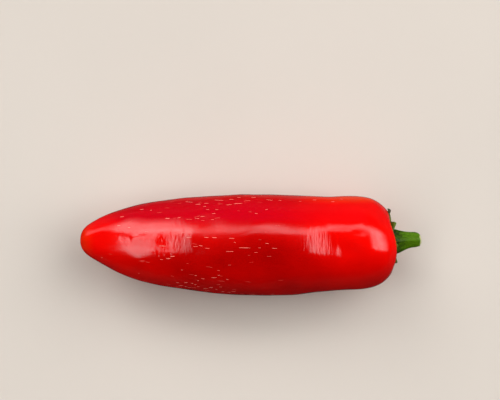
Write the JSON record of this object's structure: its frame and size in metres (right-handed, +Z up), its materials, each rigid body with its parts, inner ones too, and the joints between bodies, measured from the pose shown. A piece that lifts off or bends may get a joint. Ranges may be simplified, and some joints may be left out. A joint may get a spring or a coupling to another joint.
{
  "type": "chilli pepper",
  "caption": "Ripe red chilli pepper of the blunt jalapeno kind, whole, lying on its side, with fine corky stretch marks, its green calyx and a stub of stem.",
  "frame": {"origin": "the middle of the small flat spot that the pod rests on, under its centre of mass, 55 mm from its tip", "axes": "+X along the pod from its tip to its stem, +Y level across it, +Z up from the surface that it lies on"},
  "size_m": [0.1077, 0.0322, 0.0319],
  "materials": {
    "skin": "tight, waxy, ripe red skin with a wet gloss, a little orange at the tip and the upper shoulder, crossed by fine pale corky stretch marks",
    "calyx": "leathery dull green, ribbed towards the teeth, with dry brown tooth tips",
    "stem": "satin fresh green with fine lengthwise ribs, darker at the foot, with a pale dry rim at the snapped end"
  },
  "bodies": {
    "root": {"pod": "skin", "calyx": "calyx", "stem": "stem"}
  },
  "joints": []
}
